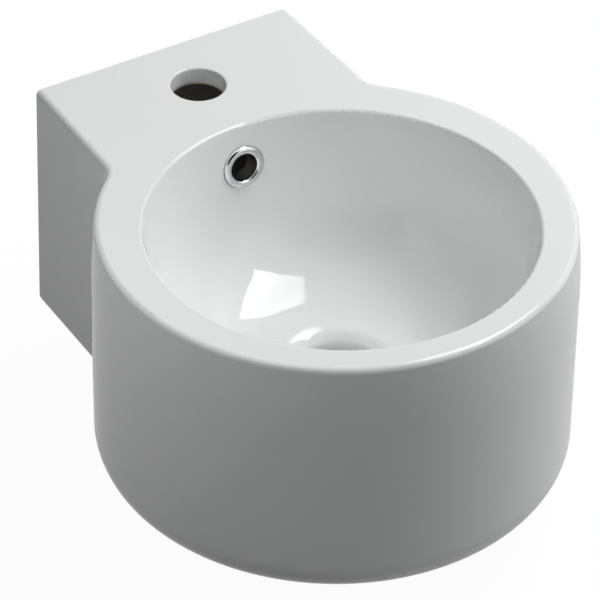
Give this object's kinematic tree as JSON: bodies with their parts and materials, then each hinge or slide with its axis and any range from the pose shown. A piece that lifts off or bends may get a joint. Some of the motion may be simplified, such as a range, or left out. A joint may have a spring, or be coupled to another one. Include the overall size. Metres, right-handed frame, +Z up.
{
  "type": "hand basin",
  "caption": "Small round wall-hung ceramic hand basin with a square tap ledge, an empty tap hole, a chrome overflow ring and a slotted waste with a push plug.",
  "frame": {"origin": "midpoint between the wall-bolt holes, on the back face that meets the wall", "axes": "+X to the basin's right seen from the front, +Y into the wall, +Z up; the bowl lies towards -Y"},
  "size_m": [0.3008, 0.3634, 0.205],
  "materials": {
    "white_glaze": "glossy white glaze",
    "chrome": "polished chrome plate",
    "black_rubber": "matt black rubber",
    "white_nylon": "natural nylon",
    "brass": "machined brass",
    "spring_steel": "drawn spring wire"
  },
  "bodies": {
    "basin": {"basin_casting": "white_glaze", "overflow_ring": "chrome", "overflow_grip": "black_rubber", "flange_seal": "black_rubber", "waste_body": "chrome", "lower_seal": "black_rubber", "slip_washer": "white_nylon", "back_nut": "brass", "latch_housing": "brass", "latch_cap": "brass", "latch_spring": "spring_steel"},
    "plug": {"plug_spindle": "brass", "plug_nut": "brass", "plug_seal": "black_rubber", "plug_cap": "chrome"}
  },
  "joints": [
    {"name": "plug_slide", "type": "slide", "parent": "basin", "child": "plug", "axis": [0, 0, 1], "range_m": [0, 0.008], "deforming": ["latch_spring"]}
  ]
}
